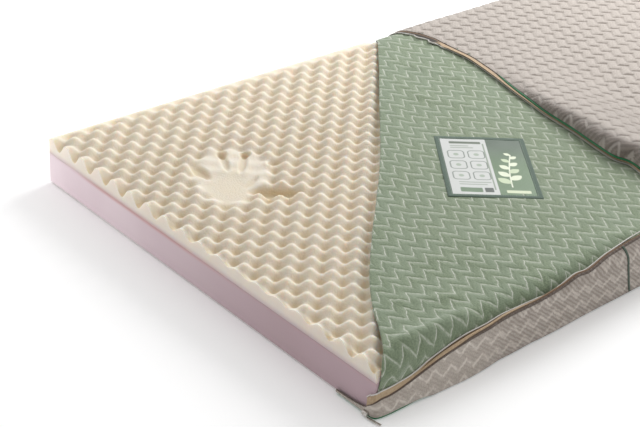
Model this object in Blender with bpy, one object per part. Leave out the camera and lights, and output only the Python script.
"""Single mattress topper with its zipped cover opened and drawn back, so that its foam layers show.

The long way runs along +Y. The opened end is at -Y, and the long side with the open zip is at +X.
Places are given on the foam: across from its back long edge, along from its opened end, and up.
"""
import math

import bmesh
import bpy
from mathutils import Vector

# ---- driving sizes, in metres ----
FOAM_WIDTH = 0.894
FOAM_LENGTH = 1.994
FAR_RADIUS = 0.050            # upright corners at the closed end
NEAR_RADIUS = 0.004           # upright corner where the border starts
GAP = 0.0003

BOTTOM_THICKNESS = 0.0025
BASE_BOTTOM = BOTTOM_THICKNESS + GAP
BASE_TOP = 0.0623
CREAM_BOTTOM = BASE_TOP + GAP

PEAK = 0.0985                 # tops of the convoluted foam
WAVE = 0.010                  # half of its peak-to-valley height
PITCH_ACROSS = 0.0502
PITCH_ALONG = 0.0512
FIRST_PEAK_ACROSS = 0.0074
FIRST_PEAK_ALONG = 0.0083
WAVE_TURN = math.radians(0.64)  # the waves run slightly askew to the cut edges
STEPS_PER_PITCH = 4
EDGE_STEP = 0.003             # least step between the cut edge and the next line of the wave grid
BACK_RIM = 0.0915             # even height of the foam's back long edge
BACK_RIM_WIDTH = 0.018
COVERED_WAVES = 0.038         # how far the waves go on under the inner cover

SHOULDER = 0.028              # rounding of the covered foam's top edges
SIDE_HEIGHT = PEAK - SHOULDER
QUARTER = SHOULDER * math.pi / 2
FLAT_GIRTH = SIDE_HEIGHT + QUARTER

INNER_THICKNESS = 0.0020
INNER_OUT = GAP + INNER_THICKNESS
INNER_BOTTOM = 0.0040
HEM_DEPTH = 0.035             # cloth folded under the inner cover's diagonal edge
HEM_RUNOUT = 0.024
HEM_GAP = 0.0005
INNER_END = 1.900

BORDER_INNER = INNER_OUT + GAP
BORDER_THICKNESS = 0.0028
BORDER_OUTER = BORDER_INNER + BORDER_THICKNESS
BORDER_BOTTOM = 0.0037
TUCKED_BOTTOM = 0.0012        # where its lower edge reaches down past the piping
UNDER_BULGE = 0.0012          # how far that edge stands out over the piping
CLOSED_SWELL = 0.0005         # how far the closed border stands off
BORDER_SHARES = (0.0, 0.32, 0.60, 0.72, 0.776, 0.832, 0.888, 0.944, 1.0)

TAPE_THICKNESS = 0.0012
COIL_RADIUS = 0.0014
COIL_REST = 0.0008            # the coils' rest above the inner cover
COIL_OUT = INNER_OUT + COIL_REST + COIL_RADIUS
PIPING_RADIUS = 0.0018
BOTTOM_PIPING_RADIUS = 0.0015
BOTTOM_PIPING_UP = 0.0018
BOTTOM_EDGE_OUT = -0.0002     # reach of the bottom panel past the foam's sides
BOTTOM_FRONT = 0.004          # its front edge lies this far behind the foam's opened end

TOP_THICKNESS = 0.0045
TOP_REST = 0.0006             # the top panel's rest above the inner cover
TOP_GIRTH_NEAR = 0.1200       # the top panel's edge on the closed stretch, as a girth up each side
TOP_GIRTH_FAR = 0.100
TOP_GIRTH_BACK = 0.082
EDGE_TO_COIL = 0.0161         # closed zip: from the top panel's edge down to the lower coil
EDGE_TO_BORDER = 0.0235       # and to the border's top edge
FRONT_CORNER = 0.014          # rounding of the top panel's two front corners
HUMP_CREST = 0.028            # the front hump peaks this far behind the front edge
HUMP_END = 0.210

# Places at which the outer cover is cut into faces.
FAR_ALONGS = (1.20, 1.35, 1.50, 1.70, 1.88)
NEAR_ALONGS = tuple(0.020 + 0.030 * k for k in range(23)) + (0.720, 0.755, 0.970)
END_STEPS = (0.0365, 0.026, 0.018, 0.012, 0.007, 0.003, 0.0)
HUMP_SHARES = (0.0, 0.12, 0.26, 0.42, 0.60, 0.80, 1.0, 1.08, 1.2, 1.36, 1.55, 1.77, 2.0)
LEFT_STEPS = (0.0, 0.004, 0.0085, 0.0140, 0.0200, 0.0260, 0.0330)
RIGHT_STEPS = (0.024, 0.014, 0.006, 0.0)
TOP_COLUMNS = 16

# Edge of the inner cover's diagonal fold on the top face.
FOLD = (
    # across, along
    (-0.010, 0.828),
    (0.016, 0.813),
    (0.130, 0.712),
    (0.244, 0.607),
    (0.340, 0.520),
    (0.431, 0.435),
    (0.536, 0.328),
    (0.631, 0.229),
    (0.721, 0.142),
    (0.787, 0.086),
    (0.831, 0.054),
    (0.873, 0.019),
    (0.888, 0.004),
    (0.898, -0.001),
    (0.915, -0.001),
    (0.930, 0.0045),
    (0.960, 0.0045),
)

# Top edge of the border and the open zip's coil on the visible long side, as girths up the side.
# Runs are measured from the near corner: minus on the opened end, plus along the side.
NEAR_EDGE = (
    # run, border top, coil, standing off at the bottom, and at the top, tape strip, tape fold
    (-0.079, 0.0075, 0.0200, 0.0000, 0.0000, 0.003, 0.0),
    (-0.044, 0.0090, 0.0240, 0.0000, 0.0000, 0.003, 0.0),
    (-0.012, 0.0150, 0.0345, 0.0000, 0.0000, 0.003, 0.0),
    (-0.005, 0.0240, 0.0420, 0.0000, 0.0000, 0.003, 0.0),
    (0.003, 0.0325, 0.0476, 0.0030, 0.0003, 0.003, 0.0),
    (0.025, 0.0336, 0.0478, 0.0054, 0.0013, 0.003, 0.0),
    (0.045, 0.0367, 0.0492, 0.0056, 0.0019, 0.003, 0.0),
    (0.067, 0.0425, 0.0514, 0.0060, 0.0026, 0.003, 0.0),
    (0.084, 0.0485, 0.0560, 0.0070, 0.0038, 0.003, 0.0),
    (0.104, 0.0554, 0.0640, 0.0085, 0.0048, 0.005, 0.3),
    (0.124, 0.0614, 0.0688, 0.0090, 0.0056, 0.006, 0.8),
    (0.150, 0.0668, 0.0738, 0.0098, 0.0066, 0.005, 1.0),
    (0.186, 0.0728, 0.0776, 0.0112, 0.0076, 0.003, 1.0),
    (0.230, 0.0755, 0.0782, 0.0090, 0.0080, 0.002, 1.0),
    (0.264, 0.0782, 0.0808, 0.0056, 0.0080, 0.002, 1.0),
    (0.300, 0.0790, 0.0805, 0.0053, 0.0080, 0.0015, 1.0),
    (0.340, 0.0788, 0.0798, 0.0040, 0.0080, 0.001, 1.0),
    (0.372, 0.0798, 0.0785, 0.0046, 0.0080, 0.001, 1.0),
    (0.408, 0.0822, 0.0822, 0.0045, 0.0080, 0.001, 1.0),
    (0.444, 0.0862, 0.0878, 0.0034, 0.0080, 0.001, 1.0),
    (0.474, 0.0852, 0.0868, 0.0025, 0.0078, 0.001, 1.0),
    (0.524, 0.0915, 0.0938, 0.0018, 0.0070, 0.001, 1.0),
    (0.560, 0.0937, 0.0972, 0.0018, 0.0065, 0.001, 1.0),
    (0.618, 0.0962, 0.1018, 0.0010, 0.0058, 0.001, 1.0),
    (0.680, 0.0968, 0.1036, 0.0005, 0.0045, 0.001, 0.4),
    (0.755, 0.0965, 0.1039, 0.0005, 0.0005, 0.003, 0.0),
)

# The same on the back long side, where the border falls away to the opened end.
BACK_EDGE = (
    # along, border top, coil
    (0.060, 0.0090, 0.0200),
    (0.120, 0.0150, 0.0260),
    (0.250, 0.0280, 0.0370),
    (0.400, 0.0370, 0.0450),
    (0.560, 0.0440, 0.0520),
    (0.700, 0.0480, 0.0560),
    (0.790, 0.0500, 0.0575),
    (0.840, 0.0525, 0.0600),
    (0.890, 0.0585, 0.0659),
)
BACK_ZIP_START = 0.060

# Front edge of the drawn-back top panel, laid out flat across the topper.
FRONT = (
    # across, along, lift of the edge, height of the hump, reach of the tape, height of its foot, coil
    (-0.0045, 0.868, 0.0000, 0.0000, 0.0060, 0.0006, 0.0022),
    (0.010, 0.877, 0.0003, 0.0003, 0.0040, 0.0010, 0.0022),
    (0.026, 0.889, 0.0006, 0.0006, 0.0030, 0.0012, 0.0022),
    (0.045, 0.901, 0.0008, 0.0008, 0.0030, 0.0012, 0.0022),
    (0.070, 0.909, 0.0009, 0.0009, 0.0050, 0.0014, 0.0022),
    (0.095, 0.913, 0.0010, 0.0010, 0.0060, 0.0024, 0.0022),
    (0.125, 0.911, 0.0014, 0.0014, 0.0070, 0.0040, 0.0010),
    (0.158, 0.910, 0.0020, 0.0020, 0.0080, 0.0041, -0.0025),
    (0.204, 0.909, 0.0026, 0.0028, 0.0080, 0.0040, -0.0030),
    (0.245, 0.901, 0.0034, 0.0040, 0.0070, 0.0040, -0.0030),
    (0.315, 0.883, 0.0050, 0.0070, 0.0055, 0.0040, -0.0030),
    (0.383, 0.863, 0.0068, 0.0110, 0.0040, 0.0040, -0.0030),
    (0.426, 0.852, 0.0082, 0.0150, 0.0030, 0.0040, -0.0030),
    (0.476, 0.839, 0.0098, 0.0210, 0.0025, 0.0040, -0.0030),
    (0.558, 0.824, 0.0115, 0.0280, 0.0020, 0.0040, -0.0030),
    (0.637, 0.807, 0.0120, 0.0320, 0.0020, 0.0040, -0.0030),
    (0.684, 0.800, 0.0120, 0.0340, 0.0020, 0.0040, -0.0030),
    (0.712, 0.808, 0.0116, 0.0350, 0.0025, 0.0040, -0.0030),
    (0.742, 0.804, 0.0104, 0.0330, 0.0035, 0.0040, -0.0030),
    (0.780, 0.790, 0.0078, 0.0240, 0.0045, 0.0044, -0.0030),
    (0.803, 0.781, 0.0056, 0.0160, 0.0055, 0.0044, 0.0000),
    (0.830, 0.770, 0.0026, 0.0070, 0.0060, 0.0030, 0.0022),
    (0.8605, 0.758, 0.0000, 0.0000, 0.0060, 0.0006, 0.0022),
)
EDGE_SLOPE = math.radians(82)  # steepest slope of the panel at its front edge
WAVY_END = 0.150              # the loose coil snakes over this first stretch of the front edge
WAVY_LENGTH = 0.044
WAVY_HEIGHT = 0.0040

# Where a hand has pressed the convoluted foam flat.
PRESSES = (
    # across, along, half length, half width, heading in degrees, height of the pressed foam
    (0.340, 0.152, 0.072, 0.052, -42.0, 0.0830),
    (0.262, 0.160, 0.048, 0.017, 172.0, 0.0810),
    (0.272, 0.204, 0.050, 0.015, 147.0, 0.0800),
    (0.286, 0.236, 0.048, 0.015, 135.0, 0.0800),
    (0.322, 0.250, 0.044, 0.016, 112.0, 0.0810),
    (0.404, 0.203, 0.050, 0.026, 58.0, 0.0720),
)
PRESS_RIM = 0.35              # share of a press over which the foam rises back

LABEL_CENTRE = (0.5615, 0.5825)
LABEL_LENGTH = 0.232
LABEL_WIDTH = 0.171
LABEL_TURN = math.radians(-38.4)
LABEL_BINDING = 0.0095
LABEL_THICKNESS = 0.0010
BINDING_THICKNESS = 0.0016

STRIP_WIDTH = 0.0050
STRIP_THICKNESS = 0.0010
STRIP = (
    # share of the way up the border, along
    (0.00, 0.5985),
    (0.35, 0.5872),
    (0.67, 0.5767),
    (0.85, 0.5720),
    (1.00, 0.5665),
)

SLIDER_ACROSS = 0.8845
SLIDER_SIZE = (0.0105, 0.0052, 0.0080)
SLIDER_UP = 0.0062
PULL_SIZE = (0.0270, 0.0044, 0.0014)
PULL_UP = 0.0022
PULL_FORWARD = 0.0012
PULL_TURN = math.radians(9.0)


# ---- small tools ----
def at(across, along, up):
    """World place of a point given on the foam."""
    return Vector((across - FOAM_WIDTH / 2, along - FOAM_LENGTH / 2, up))


def smooth(value):
    """Ease from 0 to 1."""
    value = min(max(value, 0.0), 1.0)
    return value * value * (3 - 2 * value)


def mix(low, high, share):
    return low + (high - low) * share


def read(table, key, column):
    """A table's column at a key, eased from row to row through the rows' own slopes."""
    if key <= table[0][0]:
        return table[0][column]
    if key >= table[-1][0]:
        return table[-1][column]
    row = max(i for i in range(len(table) - 1) if table[i][0] <= key)
    before, start, end, after = (table[min(max(row + k, 0), len(table) - 1)] for k in (-1, 0, 1, 2))
    span = end[0] - start[0]
    share = (key - start[0]) / span
    slope_start = (end[column] - before[column]) / (end[0] - before[0]) * span
    slope_end = (after[column] - start[column]) / (after[0] - start[0]) * span
    square = share * share
    cube = square * share
    return ((2 * cube - 3 * square + 1) * start[column] + (cube - 2 * square + share) * slope_start
            + (3 * square - 2 * cube) * end[column] + (cube - square) * slope_end)


def section(girth, out):
    """Distance in from the foam's side plane and height, at a girth up the side and over the shoulder."""
    if girth < SIDE_HEIGHT:
        return -out, girth
    turn = (girth - SIDE_HEIGHT) / SHOULDER
    if turn < math.pi / 2:
        radius = SHOULDER + out
        return SHOULDER - radius * math.cos(turn), SIDE_HEIGHT + radius * math.sin(turn)
    return SHOULDER + girth - FLAT_GIRTH, PEAK + out


def mesh_object(name, vertices, faces, colour, roughness, smooth_angle=None):
    """An object with its own material, its faces turned outward."""
    mesh = bpy.data.meshes.new(name)
    mesh.from_pydata([tuple(v) for v in vertices], [], faces)
    shape = bmesh.new()
    shape.from_mesh(mesh)
    bmesh.ops.recalc_face_normals(shape, faces=shape.faces)
    shape.to_mesh(mesh)
    shape.free()
    if smooth_angle is not None:
        mesh.shade_smooth()
        mesh.set_sharp_from_angle(angle=math.radians(smooth_angle))
    material = bpy.data.materials.new(name)
    material.use_nodes = True
    shader = material.node_tree.nodes["Principled BSDF"]
    shader.inputs["Base Color"].default_value = (*colour, 1.0)
    shader.inputs["Roughness"].default_value = roughness
    mesh.materials.append(material)
    item = bpy.data.objects.new(name, mesh)
    bpy.context.collection.objects.link(item)
    return item


def swept(name, rings, colour, roughness, closed=False, smooth_angle=40):
    """A solid through rings of equal length: open sweeps are capped, closed ones run back to their start."""
    size = len(rings[0])
    vertices = [point for ring in rings for point in ring]
    faces = []
    for i in range(len(rings) if closed else len(rings) - 1):
        low, high = i * size, (i + 1) % len(rings) * size
        for k in range(size):
            following = (k + 1) % size
            faces.append((low + k, low + following, high + following, high + k))
    if not closed:
        faces.append(tuple(range(size)))
        faces.append(tuple(range(len(vertices) - 1, len(vertices) - 1 - size, -1)))
    return mesh_object(name, vertices, faces, colour, roughness, smooth_angle)


def prism(name, outline, bottom, top, colour, roughness):
    """An upright solid on a plan outline."""
    rings = [[at(x, y, z) for x, y in outline] for z in (bottom, top)]
    return swept(name, rings, colour, roughness, smooth_angle=30)


def far_plan(inset, front):
    """Plan outline with two rounded corners at the closed end."""
    radius = FAR_RADIUS - inset
    left, right, end = inset, FOAM_WIDTH - inset, FOAM_LENGTH - inset
    outline = [(left, front), (right, front)]
    for centre, start in ((right - radius, 0.0), (left + radius, 90.0)):
        for k in range(6):
            angle = math.radians(start + 18 * k)
            outline.append((centre + radius * math.cos(angle), end - radius + radius * math.sin(angle)))
    return outline


# ---- foam ----
def wave_place(line, row):
    """Plan place of a crossing of the wave grid, in steps from the first peak."""
    a = line / STEPS_PER_PITCH * PITCH_ACROSS
    c = row / STEPS_PER_PITCH * PITCH_ALONG
    cosine, sine = math.cos(WAVE_TURN), math.sin(WAVE_TURN)
    return FIRST_PEAK_ACROSS + a * cosine - c * sine, FIRST_PEAK_ALONG + a * sine + c * cosine


def wave_height(across, along):
    """Height of the convoluted foam, pressed where the hand lay."""
    cosine, sine = math.cos(WAVE_TURN), math.sin(WAVE_TURN)
    dx, dy = across - FIRST_PEAK_ACROSS, along - FIRST_PEAK_ALONG
    a = (dx * cosine + dy * sine) / PITCH_ACROSS
    c = (dy * cosine - dx * sine) / PITCH_ALONG
    height = PEAK - WAVE + WAVE * math.cos(2 * math.pi * a) * math.cos(2 * math.pi * c)
    for press_across, press_along, half_length, half_width, heading, floor in PRESSES:
        turn = math.radians(heading)
        ex, ey = across - press_across, along - press_along
        u = (ex * math.cos(turn) + ey * math.sin(turn)) / half_length
        v = (ey * math.cos(turn) - ex * math.sin(turn)) / half_width
        height = mix(height, floor, smooth((1 - math.hypot(u, v)) / PRESS_RIM))
    return mix(height, BACK_RIM, smooth(1 - across / BACK_RIM_WIDTH))


def covered_height(across, along):
    """Height of the plain foam under the cover, lower round its three covered edges."""
    inset = min(across, FOAM_WIDTH - across, FOAM_LENGTH - along)
    if inset >= SHOULDER:
        return PEAK
    drop = SHOULDER - math.sqrt(SHOULDER ** 2 - (SHOULDER - max(inset, 0)) ** 2)
    return PEAK - 1.15 * drop


def foam_top():
    """Cream foam: waves where it shows, a plain top under the cover."""
    first_line, first_row = -1, -2
    last_line = math.ceil((FOAM_WIDTH - FIRST_PEAK_ACROSS) / PITCH_ACROSS * STEPS_PER_PITCH)
    step_along = PITCH_ALONG / STEPS_PER_PITCH
    lines = range(first_line, last_line + 1)

    def last_row(line):
        limit = read(FOLD, wave_place(line, 0)[0], 1) + COVERED_WAVES
        return math.ceil((limit - FIRST_PEAK_ALONG) / step_along)

    def place(line, row):
        across, along = wave_place(line, row)
        across = min(max(across, EDGE_STEP), FOAM_WIDTH - EDGE_STEP)
        along = max(along, EDGE_STEP)
        if line == first_line:
            across = 0.0
        if line == last_line:
            across = FOAM_WIDTH
        if row == first_row:
            along = 0.0
        height = covered_height(across, along)
        if row < last_row(min(line, last_line - 1)):
            bare = max(read(FOLD, across, 1) - step_along - along, 0.0)
            height = min(wave_height(across, along), height + 2 * bare)
        return at(across, along, height)

    vertices = []
    number = {}

    def vertex(key, point):
        if key not in number:
            number[key] = len(vertices)
            vertices.append(point)
        return number[key]

    def grid(line, row):
        return vertex((line, row), place(line, row))

    def far(line, step):
        share = (line - first_line) / (last_line - first_line)
        across = FOAM_WIDTH * share
        edge = min(across, FOAM_WIDTH - across)
        bend = max(FAR_RADIUS - edge, 0.0)
        end = FOAM_LENGTH - FAR_RADIUS + math.sqrt(FAR_RADIUS ** 2 - bend ** 2)
        along = end - (0.030, 0.010, 0.0)[step]
        height = covered_height(across, along + FOAM_LENGTH - end)
        return vertex((line, "far", step), at(across, along, height))

    faces = []
    for line in lines[:-1]:
        top_row = last_row(line)
        for row in range(first_row, top_row):
            faces.append((grid(line, row), grid(line + 1, row), grid(line + 1, row + 1), grid(line, row + 1)))
        before = last_row(line - 1) if line > first_line else top_row
        strip = [grid(line, top_row), grid(line + 1, top_row), far(line + 1, 0), far(line, 0)]
        strip += [grid(line, row) for row in range(before, top_row, -1)]
        faces.append(tuple(strip))
        for step in (0, 1):
            faces.append((far(line, step), far(line + 1, step), far(line + 1, step + 1), far(line, step + 1)))

    rim = [grid(line, first_row) for line in lines]
    rim += [grid(last_line, row) for row in range(first_row + 1, last_row(last_line - 1) + 1)]
    rim += [far(last_line, step) for step in (0, 1)]
    rim += [far(line, 2) for line in reversed(lines)]
    rim += [far(first_line, step) for step in (1, 0)]
    rim += [grid(first_line, row) for row in range(last_row(first_line), first_row, -1)]
    under = []
    for index in rim:
        point = vertices[index]
        under.append(len(vertices))
        vertices.append(Vector((point.x, point.y, CREAM_BOTTOM)))
    for k, index in enumerate(rim):
        following = (k + 1) % len(rim)
        faces.append((index, under[k], under[following], rim[following]))
    faces.append(tuple(under))
    return mesh_object("foam_top", vertices, faces, (0.86, 0.77, 0.60), 0.85, smooth_angle=50)


def foam_base():
    outline = far_plan(0.0, 0.0)
    return prism("foam_base", outline, BASE_BOTTOM, BASE_TOP, (0.62, 0.50, 0.58), 0.85)


# ---- inner cover ----
def wrap(across, along, out):
    """World place of a point laid out flat on the top, wrapped over the shoulders and far corners."""
    centre_across = min(max(across, FAR_RADIUS), FOAM_WIDTH - FAR_RADIUS)
    centre_along = min(along, FOAM_LENGTH - FAR_RADIUS)
    reach = math.hypot(across - centre_across, along - centre_along)
    short = SHOULDER - (FAR_RADIUS - reach)
    if short <= 0:
        return at(across, along, PEAK + out)
    inset, up = section(FLAT_GIRTH - short, out)
    scale = (FAR_RADIUS - inset) / reach
    return at(centre_across + (across - centre_across) * scale,
              centre_along + (along - centre_along) * scale, up)


def fold_line(across):
    """Where the inner cover's folded edge lies, for a point laid out flat."""
    folded = min(max(across, FOLD[0][0]), FOLD[-1][0])
    return read(FOLD, folded, 1)


def inner_ring(across):
    """Outline of the inner cover along the topper, at one place across: the fold, then the plain sheet."""
    over_back = smooth((across - 0.020) / 0.030)
    over_near = smooth((FOAM_WIDTH + 0.030 - across) / 0.030)
    full = min(over_back, over_near)
    skew = mix(1.0, 1.36, full)
    start = fold_line(across)
    layer = mix(0.0008, INNER_THICKNESS, full)
    opening = mix(GAP, HEM_GAP, full)
    low = GAP
    top = low + 2 * layer + opening
    ends = start + HEM_DEPTH * skew
    runout = ends + HEM_RUNOUT * skew
    nose = layer * skew
    outline = [
        (ends, low),
        (start + nose, low),
        (start + 0.3 * nose, low + 0.5 * layer),
        (start, low + layer + opening / 2),
        (start + 0.3 * nose, top - 0.5 * layer),
        (start + nose, top),
        (ends, top),
        (runout, low + INNER_THICKNESS),
        (INNER_END, low + INNER_THICKNESS),
        (INNER_END, low),
        (runout, low),
        (ends + 0.1 * HEM_RUNOUT, top - layer),
        (start + 1.6 * nose, top - layer),
        (start + 1.3 * nose, low + layer + opening / 2),
        (start + 1.6 * nose, low + layer),
        (ends, low + layer),
    ]
    return [wrap(across, along, out) for along, out in outline]


def inner_cover():
    """Green sheet over the top and down both long sides, its front edge folded under on the diagonal."""
    reach = FLAT_GIRTH - SHOULDER - INNER_BOTTOM
    places = [-reach, -0.058, -0.030]
    places += [SHOULDER - QUARTER * (1 - k / 7) for k in range(8)]
    places += [SHOULDER + (FOAM_WIDTH - 2 * SHOULDER) * k / 18 for k in range(1, 18)]
    places += [FOAM_WIDTH - SHOULDER + QUARTER * k / 7 for k in range(8)]
    places += [FOAM_WIDTH + 0.030, FOAM_WIDTH + 0.050, FOAM_WIDTH + reach]
    return swept("inner_cover", [inner_ring(place) for place in places], (0.32, 0.39, 0.26), 0.9)


# ---- label ----
def label_corners(grow):
    corners = []
    for sx, sy in ((-1, -1), (1, -1), (1, 1), (-1, 1)):
        x = sx * (LABEL_LENGTH / 2 + grow)
        y = sy * (LABEL_WIDTH / 2 + grow)
        corners.append((LABEL_CENTRE[0] + x * math.cos(LABEL_TURN) - y * math.sin(LABEL_TURN),
                        LABEL_CENTRE[1] + x * math.sin(LABEL_TURN) + y * math.cos(LABEL_TURN)))
    return corners


def label():
    """Flat printed panel inside its binding tape."""
    low = PEAK + INNER_OUT + GAP
    panel = label_corners(-LABEL_BINDING - GAP)
    prism("label_panel", panel, low, low + LABEL_THICKNESS, (0.70, 0.74, 0.66), 0.6)
    outer, inner = label_corners(0.0), label_corners(-LABEL_BINDING)
    rings = []
    for (ox, oy), (ix, iy) in zip(outer, inner):
        high = low + BINDING_THICKNESS
        rings.append([at(ox, oy, low), at(ox, oy, high), at(ix, iy, high), at(ix, iy, low)])
    swept("label_binding", rings, (0.11, 0.14, 0.12), 0.8, closed=True, smooth_angle=30)


# ---- outer cover: border, bottom and zip ----
def side_station(across, along, nx, ny):
    """Placer for a point of the foam's upright side, by girth and by distance out."""
    def place(girth, out):
        inset, up = section(girth, out)
        return at(across - nx * inset, along - ny * inset, up)
    return place


def arc_stations(centre, radius, start, turn, count):
    stations = []
    for k in range(count):
        angle = math.radians(start + turn * k / (count - 1))
        nx, ny = math.cos(angle), math.sin(angle)
        stations.append(side_station(centre[0] + radius * nx, centre[1] + radius * ny, nx, ny))
    return stations


def closed_edge(side, along):
    """Girth of the top panel's edge along the closed zip."""
    if side > 0:
        return mix(TOP_GIRTH_FAR, TOP_GIRTH_NEAR, smooth((1.75 - along) / 0.95))
    return mix(TOP_GIRTH_FAR, TOP_GIRTH_BACK, smooth((1.90 - along) / 0.40))


def flat_inset(girth):
    """Inset of a girth when the cover is laid out flat on the top."""
    return SHOULDER - FLAT_GIRTH + girth


def border_swell(along, share):
    """How far the border stands off at a share of its height, on the visible long side's stations."""
    waves = 0.0012 * math.sin(along * 27.0) + 0.0008 * math.sin(along * 61.0)
    loose = mix(read(NEAR_EDGE, along, 3), read(NEAR_EDGE, along, 4), share)
    return loose + (0.0010 + waves) * smooth((1.1 - along) / 0.5) * math.sin(math.pi * share)


def between_stations(along, share):
    """The same between stations."""
    low = max(k for k in NEAR_ALONGS if k <= along)
    high = min(k for k in NEAR_ALONGS if k > along)
    return mix(border_swell(low, share), border_swell(high, share), (along - low) / (high - low))


def lower_stations():
    """Stations round the border: placer, its two edge girths, its swell, tape strip and fold, tuck."""
    rows = []

    def add_near(place, key, tuck):
        swells = [border_swell(key, share) for share in BORDER_SHARES]
        rows.append((place, read(NEAR_EDGE, key, 1), read(NEAR_EDGE, key, 2), swells,
                     read(NEAR_EDGE, key, 5), read(NEAR_EDGE, key, 6), tuck))

    def add_closed(place, girth):
        swells = [CLOSED_SWELL] * len(BORDER_SHARES)
        rows.append((place, girth - EDGE_TO_BORDER, girth - EDGE_TO_COIL, swells, 0.003, 0.0, 1.0))

    for run in (-0.079, -0.044, -0.026, -0.012):
        add_near(side_station(FOAM_WIDTH + run, 0.0, 0, -1), run, 0.0)
    corner = (FOAM_WIDTH - NEAR_RADIUS, NEAR_RADIUS)
    for k, place in enumerate(arc_stations(corner, NEAR_RADIUS, -90, 90, 4)):
        add_near(place, -0.006 + 0.003 * k, 0.0)
    for along in NEAR_ALONGS + FAR_ALONGS:
        place = side_station(FOAM_WIDTH, along, 1, 0)
        if along <= NEAR_EDGE[-1][0]:
            add_near(place, along, smooth((along - 0.050) / 0.080))
        else:
            add_closed(place, closed_edge(1, along))
    for centre, start in ((FOAM_WIDTH - FAR_RADIUS, 0), (FAR_RADIUS, 90)):
        for place in arc_stations((centre, FOAM_LENGTH - FAR_RADIUS), FAR_RADIUS, start, 90, 6):
            add_closed(place, TOP_GIRTH_FAR)
    for along in FAR_ALONGS[::-1] + (0.890,):
        add_closed(side_station(0.0, along, -1, 0), closed_edge(-1, along))
    for along in (0.840, 0.700, 0.560, 0.400, 0.250, 0.120, BACK_ZIP_START):
        rows.append((side_station(0.0, along, -1, 0), read(BACK_EDGE, along, 1), read(BACK_EDGE, along, 2),
                     [CLOSED_SWELL] * len(BORDER_SHARES), 0.003, 0.0, 1.0))
    return rows


def cover_border(rows):
    """Taupe side band, standing off a little where the zip is open."""
    rings = []
    for place, edge, _, swells, _, _, tuck in rows:
        outer, inner = [], []
        for share, swell in zip(BORDER_SHARES, swells):
            lowered = smooth(2 * tuck - 1)
            girth = mix(mix(BORDER_BOTTOM, TUCKED_BOTTOM, lowered), edge, share)
            under = UNDER_BULGE * lowered * (1 - share) ** 4
            outer.append(place(girth, BORDER_OUTER + swell + under))
            inner.append(place(girth, BORDER_INNER + swell + under))
        rings.append(outer + inner[::-1])
    return swept("cover_border", rings, (0.35, 0.29, 0.25), 0.9)


def cover_bottom(rows):
    """Bottom panel, reaching out to the border's lower edge."""
    outline = [(place(0.0, BOTTOM_EDGE_OUT + swells[0])) for place, _, _, swells, _, _, _ in rows[8:]]
    outline = [(p.x, p.y) for p in outline]
    start = at(FOAM_WIDTH + 0.002, BOTTOM_FRONT, 0.0)
    end = at(0.0, BOTTOM_FRONT, 0.0)
    outline = [(end.x, end.y), (start.x, start.y)] + outline
    rings = [[Vector((x, y, z)) for x, y in outline] for z in (0.0, BOTTOM_THICKNESS)]
    return swept("cover_bottom", rings, (0.33, 0.28, 0.24), 0.9, smooth_angle=30)


def cord_ring(place, girth, out, radius, sides):
    """Points round a cord that runs through a station."""
    return [place(girth + radius * math.cos(2 * math.pi * (k + 0.5) / sides),
                  out + radius * math.sin(2 * math.pi * (k + 0.5) / sides)) for k in range(sides)]


def strip_ring(place, line, thickness):
    """Outline of a thin strip whose middle runs through the line's points."""
    sides = ([], [])
    for k, point in enumerate(line):
        before, after = line[max(k - 1, 0)], line[min(k + 1, len(line) - 1)]
        du, dv = after[0] - before[0], after[1] - before[1]
        length = math.hypot(du, dv)
        nu, nv = -dv / length * thickness / 2, du / length * thickness / 2
        sides[0].append(place(point[0] + nu, point[1] + nv))
        sides[1].append(place(point[0] - nu, point[1] - nv))
    return sides[0] + sides[1][::-1]


def zip_lower(rows):
    """Lower zip half: the tape dips into the gap behind the border and comes up to its coil."""
    tape, coil = [], []
    for place, edge, coil_girth, swells, strip, fold, _ in rows[3:]:
        low, high = edge + 2 * GAP, coil_girth - COIL_RADIUS - 2 * GAP
        near = BORDER_INNER + TAPE_THICKNESS / 2 + GAP
        off = near + swells[-1]
        flat = [(mix(low, high, share), mix(off, near, share)) for share in (0.0, 0.25, 0.4, 0.65, 0.85, 1.0)]
        dip = [(low, off), (low + strip, off), (low + strip + 0.0005, off - 0.0012), (edge - 0.0062, off - 0.0026),
               (edge - 0.0062, near), (high, near)]
        line = [(mix(a[0], b[0], fold), mix(a[1], b[1], fold)) for a, b in zip(flat, dip)]
        tape.append(strip_ring(place, line, TAPE_THICKNESS))
        coil.append(cord_ring(place, coil_girth, COIL_OUT, COIL_RADIUS, 5))
    swept("zip_tape_lower", tape, (0.45, 0.31, 0.18), 0.8)
    swept("zip_coil_lower", coil, (0.62, 0.60, 0.58), 0.5)


def piping_bottom(rows):
    """Piping under the border's lower edge, showing only near the opened corner."""
    rings = []
    for place, _, _, swells, _, _, tuck in rows:
        out = mix(BORDER_INNER + BOTTOM_PIPING_RADIUS - GAP, BOTTOM_EDGE_OUT + GAP + BOTTOM_PIPING_RADIUS,
                  smooth(3.2 * tuck))
        rings.append(cord_ring(place, BOTTOM_PIPING_UP, out + swells[0], BOTTOM_PIPING_RADIUS, 5))
    return swept("piping_bottom", rings, (0.03, 0.21, 0.08), 0.7)


def border_strip():
    """Narrow green strip sewn upright on the border."""
    rings = []
    for share in BORDER_SHARES[:-1]:
        along = read(STRIP, share, 1)
        corners = []
        for side, far in ((-1, 0), (-1, 1), (1, 1), (1, 0)):
            where = along + side * STRIP_WIDTH / 2
            girth = mix(TUCKED_BOTTOM, read(NEAR_EDGE, where, 1), max(share, 0.02))
            out = BORDER_OUTER + between_stations(where, share) + UNDER_BULGE * (1 - share) ** 4 + 1.5 * GAP
            corners.append(side_station(FOAM_WIDTH, where, 1, 0)(girth, out + far * STRIP_THICKNESS))
        rings.append(corners)
    return swept("border_strip", rings, (0.10, 0.16, 0.09), 0.85)


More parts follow.
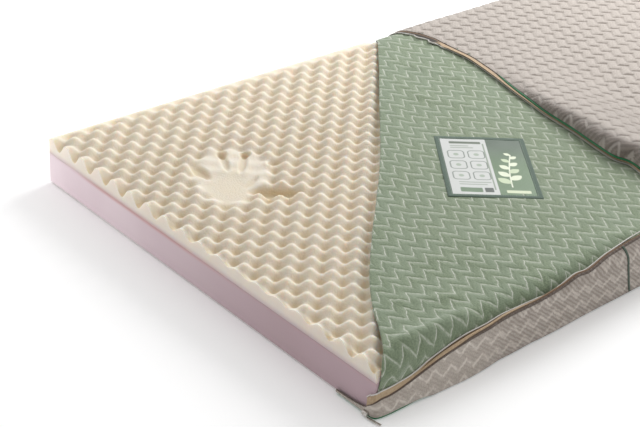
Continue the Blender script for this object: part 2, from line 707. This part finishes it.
# ---- outer cover: top panel and the zip's upper half ----
def edge_slope(across):
    """Slope of the top panel where its front edge begins: level where it lies flat, steep at the hump."""
    return EDGE_SLOPE * smooth((read(FRONT, across, 3) - read(FRONT, across, 2)) / 0.015)


def hump_point(across, share):
    """Distance behind the front edge, lift and slope; shares up to 1 reach the crest, then 2 the flat."""
    lift, height = max(read(FRONT, across, 2), 0.0), max(read(FRONT, across, 3), 0.0)
    if share > 1:
        behind = mix(HUMP_CREST, HUMP_END, share - 1)
        span = HUMP_END - HUMP_CREST
        return behind, height * (1 - smooth(share - 1)), -height * 6 * (share - 1) * (2 - share) / span
    start = edge_slope(across)
    pull = 0.30 * HUMP_CREST + 0.45 * max(height - lift, 0.0)
    points = ((0.0, lift), (pull * math.cos(start), lift + pull * math.sin(start)),
              (0.55 * HUMP_CREST, height), (HUMP_CREST, height))
    s, t = 1 - share, share
    weights = (s ** 3, 3 * s * s * t, 3 * s * t * t, t ** 3)
    behind, rise = (sum(w * p[axis] for w, p in zip(weights, points)) for axis in (0, 1))
    runs = [(b[0] - a[0], b[1] - a[1]) for a, b in zip(points, points[1:])]
    run, climb = (sum(w * r[axis] for w, r in zip((s * s, 2 * s * t, t * t), runs)) for axis in (0, 1))
    return behind, rise, climb / max(run, 1e-6)


def spread(left, right):
    """Places across the top panel, closer together over its long edges."""
    scale = min(1.0, (right - left) / 0.2)
    first, last = left + LEFT_STEPS[-1] * scale, right - RIGHT_STEPS[0] * scale
    places = [left + step * scale for step in LEFT_STEPS]
    places += [mix(first, last, k / (TOP_COLUMNS + 1)) for k in range(1, TOP_COLUMNS + 1)]
    return places + [right - step * scale for step in RIGHT_STEPS]


def narrowing(radius, beyond):
    """How much a rounded corner takes from the width at a distance into it."""
    return radius - math.sqrt(max(radius ** 2 - max(beyond, 0.0) ** 2, 0.0))


def top_rows():
    """Rows of the top panel, each point with its flat place, its lift and its slope along."""
    rows = []
    left, right = flat_inset(TOP_GIRTH_BACK), FOAM_WIDTH - flat_inset(TOP_GIRTH_NEAR)
    for share in HUMP_SHARES:
        behind = hump_point((left + right) / 2, share)[0]
        narrow = narrowing(FRONT_CORNER, FRONT_CORNER - behind)
        points = []
        for across in spread(left + narrow, right - narrow):
            behind, rise, slope = hump_point(across, share)
            points.append((across, read(FRONT, across, 1) + behind, rise, slope))
        rows.append(points)
    end = FOAM_LENGTH - flat_inset(TOP_GIRTH_FAR)
    radius = FAR_RADIUS - flat_inset(TOP_GIRTH_FAR)
    for along in FAR_ALONGS + tuple(end - step for step in END_STEPS):
        narrow = narrowing(radius, along - (end - radius))
        low = flat_inset(closed_edge(-1, along)) + narrow
        high = FOAM_WIDTH - flat_inset(closed_edge(1, along)) - narrow
        rows.append([(across, along, 0.0, 0.0) for across in spread(low, high)])
    return rows


def rim_order(rows, columns):
    """Grid places round the edge of a sheet: front, right, far, left."""
    order = [(0, column) for column in range(columns)]
    order += [(row, columns - 1) for row in range(1, rows)]
    order += [(rows - 1, column) for column in range(columns - 2, -1, -1)]
    return order + [(row, 0) for row in range(rows - 2, 0, -1)]


def cover_top():
    """Taupe quilted panel: flat on the inner cover, rising in a hump behind its front edge."""
    grid = top_rows()
    rows, columns = len(grid), len(grid[0])
    rim = rim_order(rows, columns)
    edge = set(rim)
    upper, lower = [], []
    for row, points in enumerate(grid):
        for column, (across, along, rise, slope) in enumerate(points):
            thickness = TOP_THICKNESS * (0.75 if (row, column) in edge else 1.0)
            length = math.hypot(slope, 1.0)
            low = INNER_OUT + TOP_REST + rise
            lower.append(wrap(across, along, low))
            upper.append(wrap(across, along - thickness * slope / length, low + thickness / length))
    count = len(upper)
    faces = []
    for row in range(rows - 1):
        for column in range(columns - 1):
            a = row * columns + column
            quad = (a, a + 1, a + 1 + columns, a + columns)
            faces.append(quad)
            faces.append(tuple(count + k for k in reversed(quad)))
    rim = [row * columns + column for row, column in rim]
    for k, index in enumerate(rim):
        following = rim[(k + 1) % len(rim)]
        faces.append((index, count + index, count + following, following))
    return mesh_object("cover_top", upper + lower, faces, (0.52, 0.47, 0.43), 0.9, smooth_angle=50)


def rim_stations():
    """Stations round the top panel's edge: placer, its lift and slope there, tape, foot, coil and sway."""
    grid = top_rows()
    rim = rim_order(len(grid), len(grid[0]))
    path = [grid[row][column] for row, column in rim]
    stations = []
    for k, ((row, column), (across, along, rise, _)) in enumerate(zip(rim, path)):
        if 6 < row < len(HUMP_SHARES) - 1 or (row == len(grid) - 1 and 0 < column < len(grid[0]) - 1):
            continue
        before, after = path[k - 1], path[(k + 1) % len(path)]
        dx, dy = after[0] - before[0], after[1] - before[1]
        length = math.hypot(dx, dy)
        nx, ny = dy / length, -dx / length
        slope = edge_slope(across) if row == 0 else 0.0
        front = smooth(1 - (along - read(FRONT, across, 1)) / 0.02)
        shape = [mix(FRONT[0][field], read(FRONT, across, field), front) for field in (4, 5, 6)]
        fade = smooth((WAVY_END - across) / 0.040) * smooth((across - 0.020) / 0.020) * front
        sway = WAVY_HEIGHT * fade * math.sin(2 * math.pi * across / WAVY_LENGTH) ** 2

        def place(out_by, up, across=across, along=along, nx=nx, ny=ny):
            return wrap(across + nx * out_by, along + ny * out_by, INNER_OUT + up)

        stations.append((place, rise, slope, *shape, sway))
    return stations


def zip_upper(stations):
    """Piping, tape and coil along the top panel's edge, each a closed ring."""
    tape, coil, piping = [], [], []
    for place, rise, slope, reach, foot, coil_on, sway in stations:
        half = 0.75 * TOP_THICKNESS / 2
        cosine, sine = math.cos(slope), math.sin(slope)
        middle = (half * sine, TOP_REST + rise + half * cosine)
        step = PIPING_RADIUS + 3 * GAP
        cord = (middle[0] + step * cosine, max(middle[1] - step * sine, PIPING_RADIUS + GAP))
        piping.append(cord_ring(place, cord[0], cord[1], PIPING_RADIUS, 5))
        step = PIPING_RADIUS + 2 * GAP + TAPE_THICKNESS / 2 * sine
        level = foot + TAPE_THICKNESS / 2
        drop = min(step * sine, max(cord[1] - level, 0.0))
        top = (cord[0] + math.sqrt(step ** 2 - drop ** 2), cord[1] - drop)
        end = (top[0] + reach, level)
        tape.append(strip_ring(place, [top, end], TAPE_THICKNESS))
        coil.append(cord_ring(place, end[0] + coil_on + sway, COIL_REST + COIL_RADIUS, COIL_RADIUS, 5))
    swept("piping_top", piping, (0.03, 0.21, 0.08), 0.7, closed=True)
    swept("zip_tape_upper", tape, (0.45, 0.31, 0.18), 0.8, closed=True)
    swept("zip_coil_upper", coil, (0.62, 0.60, 0.58), 0.5, closed=True)


# ---- slider ----
def block(name, centre, size, turn, bevel, colour, roughness, metallic):
    """A bevelled metal block, turned about the upright."""
    shape = bmesh.new()
    bmesh.ops.create_cube(shape, size=1.0)
    for vertex in shape.verts:
        vertex.co = Vector((vertex.co.x * size[0], vertex.co.y * size[1], vertex.co.z * size[2]))
    bmesh.ops.bevel(shape, geom=list(shape.edges), offset=bevel, segments=2, affect="EDGES", profile=0.5)
    mesh = bpy.data.meshes.new(name)
    shape.to_mesh(mesh)
    shape.free()
    mesh.shade_smooth()
    mesh.set_sharp_from_angle(angle=math.radians(35))
    material = bpy.data.materials.new(name)
    material.use_nodes = True
    shader = material.node_tree.nodes["Principled BSDF"]
    shader.inputs["Base Color"].default_value = (*colour, 1.0)
    shader.inputs["Roughness"].default_value = roughness
    shader.inputs["Metallic"].default_value = metallic
    mesh.materials.append(material)
    item = bpy.data.objects.new(name, mesh)
    item.location = centre
    item.rotation_euler = (0.0, 0.0, turn)
    bpy.context.collection.objects.link(item)
    return item


def slider():
    """Slider at the zip's end by the near corner, with its pull lying out on the floor."""
    out = BORDER_OUTER + GAP + SLIDER_SIZE[1] / 2
    centre = at(SLIDER_ACROSS, -out, SLIDER_UP)
    block("zip_slider", centre, SLIDER_SIZE, 0.0, 0.0012, (0.75, 0.74, 0.72), 0.3, 1.0)
    corner = PULL_SIZE[1] / 2 * math.sin(PULL_TURN)
    start = Vector((centre.x + SLIDER_SIZE[0] / 2 + GAP + corner, centre.y - PULL_FORWARD, PULL_UP))
    middle = start + Vector((math.cos(PULL_TURN), math.sin(PULL_TURN), 0.0)) * PULL_SIZE[0] / 2
    block("zip_pull", middle, PULL_SIZE, PULL_TURN, 0.0005, (0.75, 0.74, 0.72), 0.3, 1.0)


def build():
    for item in list(bpy.data.objects):
        bpy.data.objects.remove(item, do_unlink=True)
    foam_base()
    foam_top()
    inner_cover()
    label()
    lower = lower_stations()
    cover_bottom(lower)
    cover_border(lower)
    zip_lower(lower)
    piping_bottom(lower)
    border_strip()
    cover_top()
    zip_upper(rim_stations())
    slider()


build()
